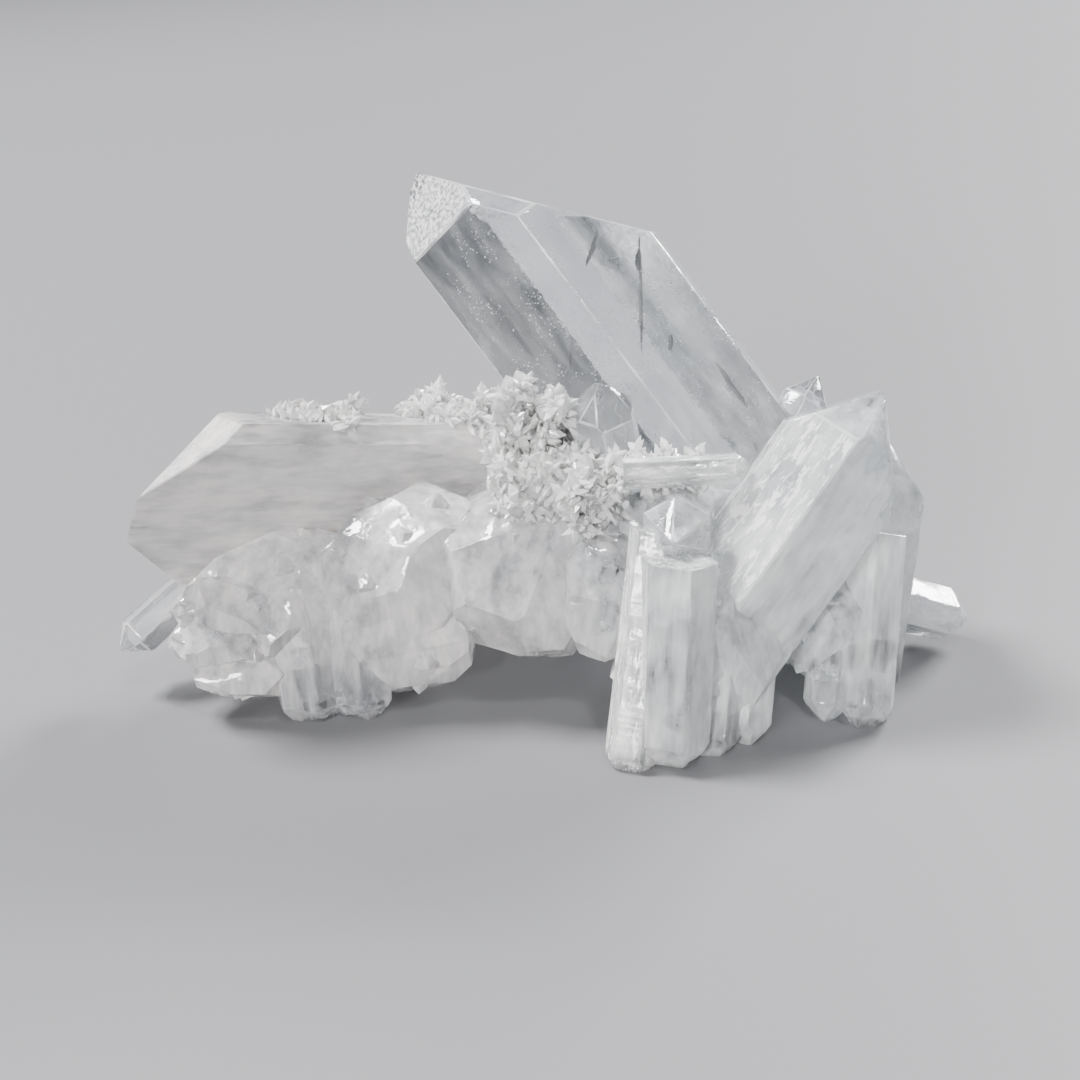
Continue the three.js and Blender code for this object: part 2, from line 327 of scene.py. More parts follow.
# Milky quartz that fills the middle and the underside: blunt, many-faced lumps that have run
# together, with dull, gently uneven faces. Each is given by centre, reach along x, y and z, and
# seed.
LUMP_CUTS = 26
LUMP_WEAR = 0.16
LUMP_SWAY = 0.9
LUMPS = [
    ((-31, 8, 12), (12, 8, 9), 3), ((-35.4, 3.8, 13.4), (7.4, 4.6, 3.4), 5),
    ((-36.4, 3, 9.4), (7.2, 4.8, 3.2), 41), ((-34.4, 2.4, 5.8), (6.4, 4.6, 3), 43),
    ((-15, 6, 16), (11.5, 8, 9.4), 7), ((-16, 3.5, 9), (8, 6, 8), 11),
    ((-1.5, 4.6, 15.3), (11, 8.5, 10.3), 13), ((6.6, 1, 14), (5, 6, 8.6), 17),
    ((18, -4, 10), (9, 8, 11), 19), ((33, 1, 8), (7, 6, 7.5), 23),
    ((12, 12, 16), (16, 12, 11), 29), ((4, 20, 8), (9, 8, 10), 31),
    ((2, 4, 25.6), (7, 4, 4), 53), ((27, 15, 13), (10, 10, 9), 37), ((-4, 25, 14), (10, 9, 9), 47),
]


def even_direction(i, count, sway):
    """One of a count of directions spread evenly round a ball, turned a little by its sway."""
    height = 1 - (2 * i + 1) / count
    turn = i * GOLDEN_TURN + sway
    ring = math.sqrt(1 - height * height)
    return Vector((ring * math.cos(turn), ring * math.sin(turn), height))


def stretched(direction, radii):
    return Vector(direction[axis] * radii[axis] for axis in range(3))


def lump(centre, radii, seed):
    """A block cut by flat faces that touch an ellipsoid, spread evenly round it."""
    body = new_block(Vector(centre))
    spread = seeded_numbers(seed)
    for i in range(LUMP_CUTS):
        out = even_direction(i, LUMP_CUTS, (next(spread) - 0.5) * LUMP_SWAY)
        reach = stretched(out, radii).length
        worn = reach * (1 - LUMP_WEAR * next(spread))
        cut_face(body, Vector(centre) + out * worn, out, MILKY)
    return body


# The lumps are as milky as the first of the young crystals that stand on them, which is grown
# next, and their faint lines follow its growth.
first_young = len(growers)
for row in LUMPS:
    solids.append(solid_object("lump", lump(*row), first_young))


# Young crystals stand just clear of the lumps all over, leaning along the growth of each lump.
# Their small flat ends and corners give the milky quartz its glints and steps. Each lump's
# growth line turns a little from the one before it.
SPROUTS = 17
SPROUT_WIDTH = (2.2, 5.2)
SPROUT_LIFT = (0.15, 0.9)
SPROUT_SINK = 0.93
SPROUT_SWAY = 0.5
SPROUT_LEAN = (0.2, 0.9)
SPROUT_LOWEST = 2.5
SPROUT_DEPTH = 1.4
SPROUT_BLUNT = 0.2
SPROUT_MILK = (0.6, 0.5)
SPROUT_WEAR = 0.05
SPROUT_SEED = 300
SIDE_DEGREES = 60
LINE_ACROSS = -0.35
LINE_ACROSS_STEP = 0.04
LINE_FORWARD = -0.5
LINE_RISE = 0.2
sprout_spread = random.Random(61)
for number, (centre, radii, seed) in enumerate(LUMPS):
    growth_line = Vector((
        LINE_ACROSS + LINE_ACROSS_STEP * number, LINE_FORWARD,
        LINE_RISE * sprout_spread.uniform(-1, 1),
    ))
    for i in range(SPROUTS):
        out = even_direction(i, SPROUTS, sprout_spread.uniform(-SPROUT_SWAY, SPROUT_SWAY))
        skin = Vector(centre) + stretched(out, radii) * SPROUT_SINK
        lean = (out + growth_line * sprout_spread.uniform(*SPROUT_LEAN)).normalized()
        width = sprout_spread.uniform(*SPROUT_WIDTH)
        tip = skin + lean * sprout_spread.uniform(*SPROUT_LIFT)
        if tip.z > SPROUT_LOWEST:
            root = tip - lean * width * SPROUT_DEPTH
            turn = sprout_spread.uniform(0, SIDE_DEGREES)
            sprout = plain_crystal(
                root, tip, width, turn, SPROUT_BLUNT * width, CLOUDED, SPROUT_MILK
            )
            grow(sprout, SPROUT_WEAR, SPROUT_SEED + number * SPROUTS + i)


# Sugary crusts of very small crystals: where the tall crystal leaves the cluster, along the back
# edge of the long one and beside the broad one. They are given by centre, spread, number of
# grains, width, length and seed.
GRAIN_LEAN = (-0.25, 0.7)
GRAIN_SWAY = 0.3
GRAIN_LEAST = 0.65
GRAIN_RANGE = 0.55
GRAIN_BLUNT = 0.3
GRAIN_MILK = (0.72, 0.62)
GRAIN_WEAR = 0.04
GRAIN_SEED = 600
CRUSTS = [
    ((0, 7, 31), (4.6, 3, 5), 24, 2, 5.5, 101),
    ((2.5, 1.6, 26.6), (8, 2.5, 3), 24, 1.9, 4, 103),
    ((5.8, -1.5, 25.5), (3, 2, 2.4), 12, 1.8, 3.4, 107),
    ((13, 0, 28.5), (6, 2.4, 1.6), 14, 1.7, 3.2, 109),
    ((-9, 22.5, 28.6), (6.5, 4.5, 1.2), 20, 1.8, 3.4, 113),
    ((-24.5, 12.5, 32.4), (4.5, 3.6, 0.8), 7, 1.9, 2.6, 127),
]
for centre, crust_spread, count, width, length, seed in CRUSTS:
    numbers = seeded_numbers(seed)
    for i in range(count):
        away = Vector([2 * next(numbers) - 1 for _ in range(3)])
        away *= min(1, 1 / away.length)
        root = Vector(centre) + stretched(away, crust_spread)
        sway = GRAIN_SWAY * (2 * next(numbers) - 1)
        lean = (away + Vector((sway, *GRAIN_LEAN))).normalized()
        size = GRAIN_LEAST + GRAIN_RANGE * next(numbers)
        root -= lean * 0.5 * length * size
        tip = root + lean * length * size
        turn = SIDE_DEGREES * next(numbers)
        grain = plain_crystal(root, tip, width * size, turn, GRAIN_BLUNT, SUGARY, GRAIN_MILK)
        grow(grain, GRAIN_WEAR, GRAIN_SEED + i)


# All of it has grown together into one solid. The pieces are joined, cleared away below the
# surface that the cluster rests on, divided finely, and given the relief of real faces: milky
# ones gently uneven, frosted ones grainy, etched ones wrinkled, clear ones almost flat.
WELD = 0.01
UNDER_BLOCK = 300
EDGE_SHARE = 0.3
FLAT_ENOUGH = 0.97
RESTING_LEVEL = 0.02
DRAWN_OUT = 0.78

# The longest edge that each finish allows, in millimetres.
SPACING = {
    CLEAR: 3.0, MILKY: 1.3, FROSTED: 0.36, ETCHED: 0.6, BROKEN: 1.4, CLOUDED: 1.4, SUGARY: 0.9,
    WORN: 2.4,
}

# The waves of each plain finish: height in millimetres, how close they lie, and whether they are
# drawn out along the crystal.
WAVES = {
    CLEAR: [(0.012, 0.8, True)],
    MILKY: [(0.24, 0.2, False), (0.06, 0.7, True), (0.03, 2.2, True)],
    BROKEN: [(0.5, 0.35, False), (0.16, 1.3, False)],
    CLOUDED: [(0.10, 0.3, False), (0.05, 1.1, True)],
    SUGARY: [(0.14, 1.4, False)],
    WORN: [(0.05, 2.0, False)],
}
WORN_SINK = 0.02
FROST_CELLS = 1.5
FROST_HEIGHT = 0.16
FROST_SINK = 0.05
ETCH_PATCHES = 0.13
ETCH_PATCH_PLACE = Vector((3, 1, 7))
ETCH_SHARE = 0.12
ETCH_EDGE = 4
WRINKLE_HEIGHT = 0.17
WRINKLE_LEVEL = 1.2
WRINKLES = 0.9
WRINKLE_RIDGES = (0.9, 2.1, 3, 0.9, 2.0)
ETCH_WAVE_HEIGHT = 0.06
ETCH_WAVES = 0.5


def combined(base, others, operation):
    """The base solid joined with the others, or cut by them."""
    group = bpy.data.collections.new("others")
    for other in others:
        group.objects.link(other)
    modifier = base.modifiers.new("combined", "BOOLEAN")
    modifier.operation = operation
    modifier.solver = "MANIFOLD"
    modifier.operand_type = "COLLECTION"
    modifier.collection = group
    bpy.context.view_layer.update()
    depsgraph = bpy.context.evaluated_depsgraph_get()
    mesh = bpy.data.meshes.new_from_object(base.evaluated_get(depsgraph))
    base.modifiers.clear()
    base.data = mesh
    for other in others:
        bpy.data.objects.remove(other)
    bpy.data.collections.remove(group)


def refined(body, finish_layer):
    """Halves long edges, the longest first, until none is longer than its finishes allow."""
    bmesh.ops.triangulate(body, faces=body.faces[:])
    while True:
        too_long = [
            edge for edge in body.edges
            if edge.calc_length() > min(SPACING[face[finish_layer]] for face in edge.link_faces)
        ]
        if not too_long:
            break
        too_long.sort(key=bmesh.types.BMEdge.calc_length, reverse=True)
        used, halved = set(), []
        for edge in too_long:
            if used.isdisjoint(edge.link_faces):
                used.update(edge.link_faces)
                halved.append(edge)
        bmesh.ops.subdivide_edges(body, edges=halved, cuts=1, use_single_edge=True)


def relief(place, finish, stretch):
    """How far a point stands proud of its flat face, in millimetres."""
    if finish == FROSTED:
        near = noise.voronoi(place * FROST_CELLS)[0]
        return FROST_HEIGHT * (near[1] - near[0]) - FROST_SINK
    if finish == ETCHED:
        patch = noise.noise(place * ETCH_PATCHES + ETCH_PATCH_PLACE) + ETCH_SHARE
        ridges = noise.ridged_multi_fractal(stretch @ place * WRINKLES, *WRINKLE_RIDGES)
        wrinkled = WRINKLE_HEIGHT * max(0, min(1, patch * ETCH_EDGE)) * (ridges - WRINKLE_LEVEL)
        return wrinkled + ETCH_WAVE_HEIGHT * noise.noise(place * ETCH_WAVES)
    total = 0.0
    for height, closeness, drawn in WAVES[finish]:
        spot = stretch @ place if drawn else place
        total += height * noise.noise(spot * closeness)
    return total - WORN_SINK if finish == WORN else total


def drawn_out(along):
    """A matrix that draws patterns out along a crystal."""
    squash = Matrix.Identity(3)
    for row in range(3):
        for column in range(3):
            squash[row][column] -= DRAWN_OUT * along[row] * along[column]
    return squash


def add_relief(body, finish_layer, grower_layer):
    """Moves every point out or in by the relief of its face; points on an edge move less."""
    body.normal_update()
    stretches = [drawn_out(grower[1]) for grower in growers]
    moves = []
    for vert in body.verts:
        kinds = {(face[finish_layer], face[grower_layer]) for face in vert.link_faces}
        normals = [face.normal for face in vert.link_faces]
        flat = min(normals[0].dot(other) for other in normals) > FLAT_ENOUGH
        depths = [relief(vert.co, finish, stretches[grower]) for finish, grower in kinds]
        moves.append(vert.normal * min(depths, key=abs) * (1 if flat else EDGE_SHARE))
    for vert, move in zip(body.verts, moves):
        if vert.co.z > RESTING_LEVEL:
            vert.co += move


cluster = solids[0]
combined(cluster, solids[1:], "UNION")
under = bmesh.new()
under_place = Matrix.Translation((0, 0, -UNDER_BLOCK / 2))
bmesh.ops.create_cube(under, size=UNDER_BLOCK, matrix=under_place)
combined(cluster, [solid_object("under", under, 0)], "DIFFERENCE")
body = bmesh.new()
body.from_mesh(cluster.data)
bmesh.ops.remove_doubles(body, verts=body.verts[:], dist=WELD)
bmesh.ops.dissolve_degenerate(body, edges=body.edges[:], dist=WELD)
finish_layer = body.faces.layers.int["finish"]
grower_layer = body.faces.layers.int["grower"]
refined(body, finish_layer)
add_relief(body, finish_layer, grower_layer)
for vert in body.verts:
    vert.co.z = max(0, vert.co.z)
bmesh.ops.recalc_face_normals(body, faces=body.faces[:])


# The quartz itself: clear rock crystal, pale blue in the depth, turned white where it is milky,
# frosted or etched. Along the worn edges it is painted white too, partly as chipped quartz and
# partly as a painted highlight for the bright lines that the edges catch. How milky and how frosted
# each point is, and where each corner lies on its own crystal, is kept on the mesh for the material
# to read.
HOW_FROSTED = {FROSTED: 1, SUGARY: 0.55}
SHARP_ANGLE = math.radians(34)

QUARTZ_IOR = 1.544
QUARTZ_COAT = 0.35
QUARTZ_COAT_ROUGHNESS = 0.04
DEPTH_COLOUR = (0.80, 0.84, 0.88, 1)
DEPTH_DENSITY = 3
CLEAR_TINT = (0.915, 0.955, 1.0, 1)
WARM_MILK = (0.975, 0.915, 0.875, 1)
COOL_MILK = (0.965, 0.965, 0.94, 1)
WARM_UP_TO = 0.002
COOL_FROM = 0.014

# Patterns on the whole cluster, per metre: scale, layers of detail, roughness.
CLOUDS = (120, 2, 0.55)
GRAINS = (1700, 1, 0.65)
# Patterns along each crystal, per millimetre, and how they are drawn out across and along it.
WISPS = (0.6, 2, 0.65)
WISP_STRETCH = (1, 1, 0.25)
ETCH_WRINKLES = (1.1, 3, 0.75)
ETCH_STRETCH = (1, 1, 0.3)
STRIATIONS = (1.0, 1, 0.55)
STRIATION_STRETCH = (0.12, 0.12, 2.4)

# How each pattern turns the quartz white: its middle level and its strength.
CLOUD_SWING = (0.5, 1.6)
WISP_SWING = (0.5, 1.8)
PITTING = (0.38, 4.5)
WRINKLING = (0.46, 9.0)
# On the worn edges the chip pattern paints white that is partly chipped quartz and partly a painted
# highlight for the bright edge lines.
CHIP_AND_HIGHLIGHT = (0.4, 5.0)
SWING_EVERYWHERE = 0.12
MILK_COVER = 0.92
FROST_COVER = 0.9
CHIP_AND_HIGHLIGHT_COVER = 0.55
CHIP_AND_HIGHLIGHT_LEAST = 0.2
WHITE_STOPS = 0.95

# How dull and how rough to the touch the faces are.
POLISHED = 0.035
FROST_DULL = 0.36
ETCH_DULL = 0.10
WHITE_DULL = 0.16
STRIATION_BUMP = 0.35
GRAIN_BUMP = 0.25
FROST_BUMP = 1.2
BUMP_STRENGTH = 0.4
BUMP_DISTANCE = 0.0002


def paint_growth(mesh):
    """Keeps how milky, frosted and etched each point is, and each corner's place on its crystal."""
    finishes = [mark.value for mark in mesh.attributes["finish"].data]
    owners = [mark.value for mark in mesh.attributes["grower"].data]
    count = len(mesh.vertices)
    milk, frost, etch, uses = (np.zeros(count) for _ in range(4))
    growth = np.zeros((len(mesh.loops), 3))
    # The worn faces are kept as a mask for the white painted along the edges: partly chipped
    # quartz, partly painted highlight.
    worn = [float(finish == WORN) for finish in finishes]
    mesh.attributes.new("worn", "FLOAT", "FACE").data.foreach_set("value", worn)
    for face, finish, owner in zip(mesh.polygons, finishes, owners):
        start, along, first, second, height, (root_milk, tip_milk) = growers[owner]
        for loop in face.loop_indices:
            index = mesh.loops[loop].vertex_index
            arm = mesh.vertices[index].co - start
            rise = min(1, max(0, arm.dot(along) / height))
            milk[index] += root_milk + (tip_milk - root_milk) * rise
            growth[loop] = (arm.dot(first), arm.dot(second), arm.dot(along))
            frost[index] += HOW_FROSTED.get(finish, 0)
            etch[index] += finish in (ETCHED, BROKEN)
            uses[index] += 1
    for name, values in (("milk", milk), ("frost", frost), ("etch", etch)):
        mesh.attributes.new(name, "FLOAT", "POINT").data.foreach_set("value", values / uses)
    placed = mesh.attributes.new("growth", "FLOAT_VECTOR", "CORNER")
    placed.data.foreach_set("vector", growth.ravel())


def rock_material():
    """Quartz, clear where it is neither milky nor frosted."""
    material = bpy.data.materials.new("quartz")
    material.use_nodes = True
    nodes, links = material.node_tree.nodes, material.node_tree.links
    shader = nodes["Principled BSDF"]
    output = nodes["Material Output"]

    def attribute(name, socket="Fac"):
        node = nodes.new("ShaderNodeAttribute")
        node.attribute_name = name
        return node.outputs[socket]

    def number(operation, a, b, clamp=False):
        node = nodes.new("ShaderNodeMath")
        node.operation = operation
        node.use_clamp = clamp
        for socket, value in zip(node.inputs, (a, b)):
            if isinstance(value, (int, float)):
                socket.default_value = value
            else:
                links.new(value, socket)
        return node.outputs[0]

    def mottling(vector, scale, detail, roughness):
        node = nodes.new("ShaderNodeTexNoise")
        node.inputs["Scale"].default_value = scale
        node.inputs["Detail"].default_value = detail
        node.inputs["Roughness"].default_value = roughness
        links.new(vector, node.inputs["Vector"])
        return node.outputs["Fac"]

    def along_crystal(stretch):
        node = nodes.new("ShaderNodeMapping")
        node.inputs["Scale"].default_value = stretch
        links.new(growth, node.inputs["Vector"])
        return node.outputs["Vector"]

    def swung(pattern, middle, strength, clamp=False):
        return number("MULTIPLY", number("SUBTRACT", pattern, middle), strength, clamp)

    def blend_of(factor, colour_a, colour_b):
        node = nodes.new("ShaderNodeMix")
        node.data_type = "RGBA"
        links.new(factor, node.inputs["Factor"])
        node.inputs["A"].default_value = colour_a
        if isinstance(colour_b, tuple):
            node.inputs["B"].default_value = colour_b
        else:
            links.new(colour_b, node.inputs["B"])
        return node.outputs["Result"]

    place = nodes.new("ShaderNodeTexCoord").outputs["Object"]
    growth = attribute("growth", "Vector")
    milk, frost, etch, worn = (attribute(name) for name in ("milk", "frost", "etch", "worn"))
    clouds = mottling(place, *CLOUDS)
    wisps = mottling(along_crystal(WISP_STRETCH), *WISPS)
    grain = mottling(place, *GRAINS)
    wrinkles = mottling(along_crystal(ETCH_STRETCH), *ETCH_WRINKLES)
    striations = mottling(along_crystal(STRIATION_STRETCH), *STRIATIONS)

    cloudy = number("ADD", swung(clouds, *CLOUD_SWING), swung(wisps, *WISP_SWING))
    swing = number("MULTIPLY", cloudy, number("ADD", milk, SWING_EVERYWHERE))
    cover = number("ADD", number("MULTIPLY", milk, MILK_COVER), swing, clamp=True)
    pitted = number("MULTIPLY", frost, swung(grain, *PITTING, clamp=True))
    cover = number("MAXIMUM", cover, number("MULTIPLY", pitted, FROST_COVER))
    wrinkled = number("MULTIPLY", etch, swung(wrinkles, *WRINKLING, clamp=True))
    cover = number("MAXIMUM", cover, wrinkled)
    # White along the worn edges: partly chipped quartz, partly a painted highlight standing in for
    # the bright lines that the edges catch.
    chip_and_highlight = number("MULTIPLY", swung(clouds, *CHIP_AND_HIGHLIGHT, clamp=True), CHIP_AND_HIGHLIGHT_COVER)
    chip_and_highlight = number("MULTIPLY", worn, number("ADD", chip_and_highlight, CHIP_AND_HIGHLIGHT_LEAST))
    cover = number("MAXIMUM", cover, chip_and_highlight)
    opened = number("SUBTRACT", 1.0, number("MULTIPLY", cover, WHITE_STOPS), clamp=True)
    links.new(opened, shader.inputs["Transmission Weight"])

    sides = nodes.new("ShaderNodeSeparateXYZ")
    links.new(place, sides.inputs["Vector"])
    turning = nodes.new("ShaderNodeMapRange")
    turning.inputs["From Min"].default_value = WARM_UP_TO
    turning.inputs["From Max"].default_value = COOL_FROM
    links.new(sides.outputs["X"], turning.inputs["Value"])
    milks = blend_of(turning.outputs["Result"], WARM_MILK, COOL_MILK)
    links.new(blend_of(cover, CLEAR_TINT, milks), shader.inputs["Base Color"])

    dull = number("ADD", POLISHED, number("MULTIPLY", frost, FROST_DULL))
    dull = number("ADD", dull, number("MULTIPLY", etch, ETCH_DULL))
    dull = number("ADD", dull, number("MULTIPLY", cover, WHITE_DULL), clamp=True)
    links.new(dull, shader.inputs["Roughness"])

    grainy = number("ADD", GRAIN_BUMP, number("MULTIPLY", frost, FROST_BUMP))
    grainy = number("MULTIPLY", grain, grainy)
    height = number("ADD", number("MULTIPLY", striations, STRIATION_BUMP), grainy)
    bump = nodes.new("ShaderNodeBump")
    bump.inputs["Strength"].default_value = BUMP_STRENGTH
    bump.inputs["Distance"].default_value = BUMP_DISTANCE
    links.new(height, bump.inputs["Height"])
    links.new(bump.outputs["Normal"], shader.inputs["Normal"])

    shader.inputs["IOR"].default_value = QUARTZ_IOR
    shader.inputs["Coat Weight"].default_value = QUARTZ_COAT
    shader.inputs["Coat Roughness"].default_value = QUARTZ_COAT_ROUGHNESS
    soak = nodes.new("ShaderNodeVolumeAbsorption")
    soak.inputs["Color"].default_value = DEPTH_COLOUR
    soak.inputs["Density"].default_value = DEPTH_DENSITY
    links.new(soak.outputs["Volume"], output.inputs["Volume"])
    return material


quartz_mesh = bpy.data.meshes.new("quartz_body")
body.to_mesh(quartz_mesh)
body.free()
quartz_mesh.validate()
cluster.data = quartz_mesh
paint_growth(quartz_mesh)
quartz_mesh.transform(Matrix.Scale(MM, 4) @ Matrix.Translation(-BASE_CENTRE))
cluster.name = "quartz_body"
quartz_mesh.materials.clear()
quartz_mesh.materials.append(rock_material())
quartz_mesh.polygons.foreach_set("material_index", [0] * len(quartz_mesh.polygons))
quartz_mesh.polygons.foreach_set("use_smooth", [True] * len(quartz_mesh.polygons))
quartz_mesh.set_sharp_from_angle(angle=SHARP_ANGLE)
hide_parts("quartz_cluster")
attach(cluster, "root")


# Fine grains of the same quartz, at most a millimetre across, that make the crusts look like
# sugar. They are white, hardly see-through, and stand at many slants on the joined solid
# wherever it lies within a crust.
FINE_REACH = 1.35
FINE_DENSITY = 1.9
FINE_SIZES = (0.22, 1.0)
FINE_TILT = 1.0
FINE_SEED = 3

# The model of one grain is a unit across. The waist is where its upper point begins.
FINE_SIDES = 4
FINE_WAIST = 0.9
FINE_HEIGHT = 1.9
SUGAR_WHITE = (0.97, 0.965, 0.955, 1)
SUGAR_ROUGHNESS = 0.1
SUGAR_TRANSMISSION = 0.22


def scattered(name, ground, grain, per_square_mm, sizes, tilt, seed, material):
    """Copies of one grain stood at random over the faces of a mesh, as one plain mesh."""
    tree = bpy.data.node_groups.new(name, "GeometryNodeTree")
    identifiers = {}
    smallest, largest = sizes
    inputs = (
        ("Ground", "NodeSocketGeometry", None),
        ("Density", "NodeSocketFloat", per_square_mm / MM**2),
        ("Smallest", "NodeSocketFloat", smallest * MM),
        ("Largest", "NodeSocketFloat", largest * MM),
        ("Tilt", "NodeSocketFloat", tilt),
        ("Seed", "NodeSocketInt", seed),
        ("Grain", "NodeSocketObject", grain),
        ("Material", "NodeSocketMaterial", material),
    )
    for title, kind, value in inputs:
        socket = tree.interface.new_socket(title, in_out="INPUT", socket_type=kind)
        identifiers[title] = socket.identifier
    tree.interface.new_socket("Grains", in_out="OUTPUT", socket_type="NodeSocketGeometry")
    start, end = tree.nodes.new("NodeGroupInput"), tree.nodes.new("NodeGroupOutput")

    def node(kind, **wires):
        made = tree.nodes.new("GeometryNode" + kind)
        for socket, source in wires.items():
            tree.links.new(source, made.inputs[socket])
        return made

    points = node("DistributePointsOnFaces", Mesh=start.outputs["Ground"],
                  Density=start.outputs["Density"], Seed=start.outputs["Seed"])
    model = node("ObjectInfo", Object=start.outputs["Grain"])
    random_size = tree.nodes.new("FunctionNodeRandomValue")
    random_size.data_type = "FLOAT"
    tree.links.new(start.outputs["Smallest"], random_size.inputs[2])
    tree.links.new(start.outputs["Largest"], random_size.inputs[3])
    tree.links.new(start.outputs["Seed"], random_size.inputs["Seed"])
    placed = node("InstanceOnPoints", Points=points.outputs["Points"],
                  Instance=model.outputs["Geometry"], Rotation=points.outputs["Rotation"],
                  Scale=random_size.outputs[1])
    turns = tree.nodes.new("FunctionNodeRandomValue")
    turns.data_type = "FLOAT_VECTOR"
    limits = tree.nodes.new("ShaderNodeCombineXYZ")
    tree.links.new(start.outputs["Tilt"], limits.inputs["X"])
    tree.links.new(start.outputs["Tilt"], limits.inputs["Y"])
    limits.inputs["Z"].default_value = math.pi
    opposite = tree.nodes.new("ShaderNodeVectorMath")
    opposite.operation = "SCALE"
    opposite.inputs["Scale"].default_value = -1
    tree.links.new(limits.outputs["Vector"], opposite.inputs[0])
    tree.links.new(opposite.outputs["Vector"], turns.inputs[0])
    tree.links.new(limits.outputs["Vector"], turns.inputs[1])
    tree.links.new(start.outputs["Seed"], turns.inputs["Seed"])
    turned = node("RotateInstances", Instances=placed.outputs["Instances"],
                  Rotation=turns.outputs[0])
    whole = node("RealizeInstances", Geometry=turned.outputs["Instances"])
    finished = node("SetMaterial", Geometry=whole.outputs["Geometry"],
                    Material=start.outputs["Material"])
    tree.links.new(finished.outputs["Geometry"], end.inputs["Grains"])

    holder = bpy.data.objects.new(name, ground)
    bpy.context.scene.collection.objects.link(holder)
    modifier = holder.modifiers.new(name, "NODES")
    modifier.node_group = tree
    for title, kind, value in inputs:
        if value is not None:
            modifier[identifiers[title]] = value
    bpy.context.view_layer.update()
    depsgraph = bpy.context.evaluated_depsgraph_get()
    mesh = bpy.data.meshes.new_from_object(holder.evaluated_get(depsgraph))
    holder.modifiers.clear()
    holder.data = mesh
    mesh.name = name
    return holder


def grain_model(name, sides, waist, height):
    """A small closed crystal one unit across: a prism with a point at each end."""
    grain = bmesh.new()
    rings = []
    for level in (0.0, waist):
        rings.append([
            grain.verts.new((0.5 * math.cos(i * math.tau / sides),
                             0.5 * math.sin(i * math.tau / sides), level))
            for i in range(sides)
        ])
    low, high = grain.verts.new((0, 0, -0.5)), grain.verts.new((0, 0, height))
    for i in range(sides):
        j = (i + 1) % sides
        grain.faces.new((low, rings[0][j], rings[0][i]))
        grain.faces.new((rings[0][i], rings[0][j], rings[1][j], rings[1][i]))
        grain.faces.new((rings[1][i], rings[1][j], high))
    mesh = bpy.data.meshes.new(name)
    grain.to_mesh(mesh)
    grain.free()
    holder = bpy.data.objects.new(name, mesh)
    bpy.context.scene.collection.objects.link(holder)
    return holder


def fine_finish(name, colour, roughness, transmission):
    """An even finish, for parts too small to show any pattern of their own."""
    material = bpy.data.materials.new(name)
    material.use_nodes = True
    shader = material.node_tree.nodes["Principled BSDF"]
    shader.inputs["Base Color"].default_value = colour
    shader.inputs["Roughness"].default_value = roughness
    shader.inputs["Transmission Weight"].default_value = transmission
    shader.inputs["IOR"].default_value = QUARTZ_IOR
    return material


def within_crust(place):
    for centre, crust_spread, *rest in CRUSTS:
        arm = place - Vector(centre)
        arm = Vector(arm[axis] / (crust_spread[axis] + FINE_REACH) for axis in range(3))
        if arm.length < 1:
            return True
    return False


crust_ground = bmesh.new()
crust_ground.from_mesh(quartz_mesh)
bare = [
    face for face in crust_ground.faces
    if not within_crust(face.calc_center_median() / MM + BASE_CENTRE)
]
bmesh.ops.delete(crust_ground, geom=bare, context="FACES")
ground_mesh = bpy.data.meshes.new("crust_ground")
crust_ground.to_mesh(ground_mesh)
crust_ground.free()
small_grain = grain_model("small_grain", FINE_SIDES, FINE_WAIST, FINE_HEIGHT)
sugar = scattered(
    "sugar_grains", ground_mesh, small_grain, FINE_DENSITY, FINE_SIZES, FINE_TILT, FINE_SEED,
    fine_finish("sugar_quartz", SUGAR_WHITE, SUGAR_ROUGHNESS, SUGAR_TRANSMISSION),
)
bpy.data.objects.remove(small_grain)
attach(sugar, "root")


# Specks sealed inside the tall crystal: tiny white bubbles and mineral grains caught in wispy
# sheets while it grew. Three of the sheets lie just under the two faces that show as dark bands,
# and two lie deeper.
SPECK_DENSITY = 3.2
SPECK_SIZES = (0.07, 0.24)
SPECK_TILT = 3.1
SPECK_SEED = 11
SPECK_SIDES = 4
SPECK_WAIST = 0.25
SPECK_HEIGHT = 0.6
SPECK_WHITE = (0.95, 0.95, 0.94, 1)
SPECK_ROUGHNESS = 0.5
VEIL_STEP = 0.5
VEIL_ACROSS = 0.35
VEIL_ALONG = 0.16
VEIL_APART = 3.7
VEIL_FINER = 3.1
VEIL_FINER_SHARE = 0.5
VEIL_GAPS = 0.12
VEIL_BULGE = 0.7
VEIL_BULGES = 0.2

# Each sheet: side number, distance from the axis, across from and to, rise from and to, seed.
VEILS = [
    (0, 7.5, 0.6, 5.2, 12, 47, 5), (1, 9.2, -3.6, -0.4, 22, 46, 6), (1, 8.6, 0, 9, 9, 33, 7),
    (1, 4.0, -2, 8, 10, 36, 8), (0, 3.0, -10, 2, 22, 50, 9),
]

TALL = GREAT_CRYSTALS["tall"]
tall_start, tall_along, tall_first, tall_second = crystal_axes(
    TALL["foot"], TALL["axis"], TALL["facing"]
)


def tall_outward(side):
    turn = side * SIDE_TURN
    return tall_first * math.cos(turn) + tall_second * math.sin(turn)


def tall_place(side, distance, across, rise):
    """A point inside the tall crystal: side that it faces, distance out, across, and up."""
    out = tall_outward(side)
    return tall_start + out * distance + tall_along.cross(out) * across + tall_along * rise


